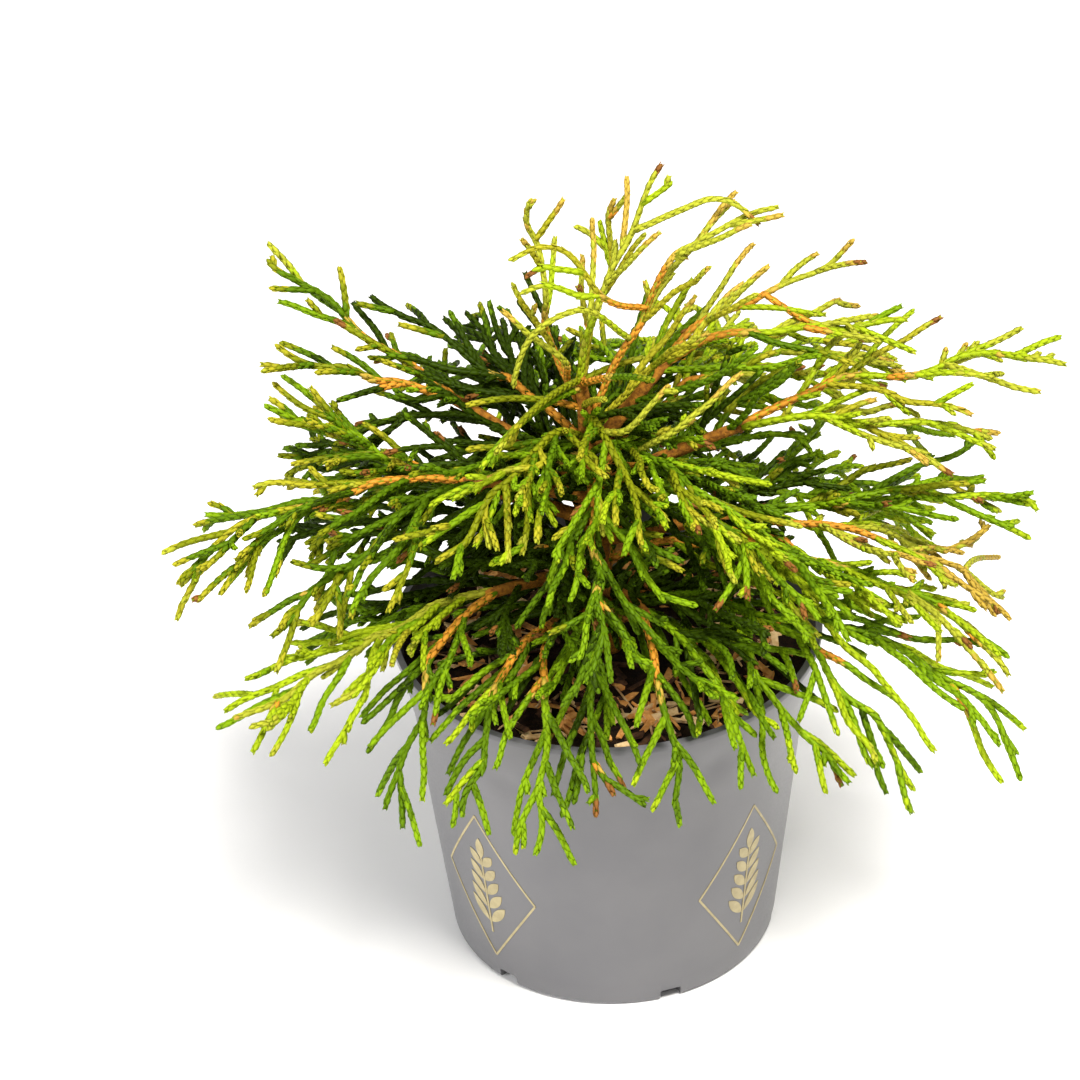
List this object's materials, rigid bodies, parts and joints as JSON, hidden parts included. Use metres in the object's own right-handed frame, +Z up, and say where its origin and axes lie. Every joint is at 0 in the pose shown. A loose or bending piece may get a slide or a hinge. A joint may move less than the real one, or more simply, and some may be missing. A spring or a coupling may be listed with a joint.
{
  "type": "potted dwarf western red cedar",
  "caption": "Low mop-shaped dwarf cedar with cord-like arching twigs, standing in a round tapered nursery pot filled with bark soil.",
  "frame": {"origin": "centre of the pot's flat underside, where the pot meets the surface it stands on", "axes": "+Z up the pot's axis, +X to the right and -Y towards the viewer as pictured"},
  "size_m": [0.3577, 0.2627, 0.3434],
  "materials": {
    "pot_plastic": "matte grey moulded plastic",
    "soil": "moist bark-chip potting soil",
    "bark": "rough orange-brown bark",
    "foliage_gold": "waxy scale leaves, gold with bronze tips",
    "foliage_lime": "waxy scale leaves, lime green",
    "foliage_green": "waxy scale leaves, bright green",
    "foliage_olive": "waxy scale leaves, olive green",
    "foliage_deep": "waxy scale leaves, deep green"
  },
  "bodies": {
    "root": {"pot": "pot_plastic", "soil": "soil", "trunk": "bark", "bough_01": "bark", "bough_02": "bark", "bough_03": "bark", "bough_04": "bark", "bough_05": "bark", "bough_06": "bark", "bough_07": "bark", "bough_08": "bark", "bough_09": "bark", "bough_10": "bark", "bough_11": "bark", "bough_12": "bark", "leader_top": "foliage_gold", "leader_back": "foliage_gold", "leader_left": "foliage_gold", "leader_right": "foliage_gold", "leader_front": "foliage_gold", "spray_right_01": "foliage_gold", "spray_right_02": "foliage_lime", "spray_right_03": "foliage_lime", "spray_right_04": "foliage_lime", "spray_right_05": "foliage_green", "spray_right_06": "foliage_gold", "spray_right_07": "foliage_lime", "spray_right_08": "foliage_green", "spray_right_09": "foliage_green", "spray_right_10": "foliage_green", "spray_front_01": "foliage_green", "spray_front_02": "foliage_green", "spray_front_03": "foliage_green", "spray_front_04": "foliage_green", "spray_front_05": "foliage_green", "spray_left_01": "foliage_green", "spray_left_02": "foliage_lime", "spray_left_03": "foliage_green", "spray_left_04": "foliage_olive", "spray_left_05": "foliage_deep", "spray_left_06": "foliage_deep", "spray_left_07": "foliage_deep", "spray_left_08": "foliage_olive", "spray_left_09": "foliage_olive", "spray_left_10": "foliage_olive", "spray_left_11": "foliage_deep", "spray_left_12": "foliage_deep", "spray_back_01": "foliage_deep", "spray_back_02": "foliage_green", "spray_back_03": "foliage_green", "spray_back_04": "foliage_lime", "spray_back_05": "foliage_lime", "spray_back_06": "foliage_deep", "spray_back_07": "foliage_green", "spray_back_08": "foliage_green", "crown_01": "foliage_lime", "crown_02": "foliage_green", "crown_03": "foliage_lime", "crown_04": "foliage_green", "crown_05": "foliage_lime"}
  },
  "joints": []
}
